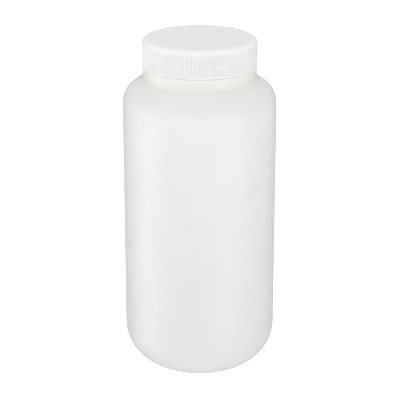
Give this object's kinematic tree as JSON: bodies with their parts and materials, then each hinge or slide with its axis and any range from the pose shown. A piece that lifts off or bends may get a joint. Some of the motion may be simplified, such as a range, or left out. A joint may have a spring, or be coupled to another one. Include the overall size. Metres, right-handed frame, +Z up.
{
  "type": "wide-mouth reagent bottle",
  "caption": "Round milky plastic wide-mouth lab bottle with a deep rounded heel, a short collar and a ribbed flat-topped screw cap over a threaded neck.",
  "frame": {"origin": "middle of the flat ring that the bottle stands on", "axes": "+Z up along the bottle's axis, towards the cap; the bottle is round, so +X and +Y are square to it"},
  "size_m": [0.091, 0.091, 0.202],
  "materials": {
    "natural_polyethylene": "satin",
    "natural_polypropylene": "satin",
    "foam_liner": "matte"
  },
  "bodies": {
    "vessel": {"bottle": "natural_polyethylene"},
    "liner": {"cap_liner": "foam_liner"},
    "closure": {"screw_cap": "natural_polypropylene"}
  },
  "joints": [
    {"name": "cap_rise", "type": "slide", "parent": "vessel", "child": "liner", "axis": [0, 0, 1], "range_m": [0, 0.017]},
    {"name": "cap_turn", "type": "hinge", "parent": "liner", "child": "closure", "pos_m": [0, 0, 0.2], "axis": [0, 0, 1], "range_deg": [0, 1440]}
  ],
  "couplings": [
    {"joint": "cap_rise", "follows": "cap_turn", "m_per_rad": 0.00067375}
  ]
}
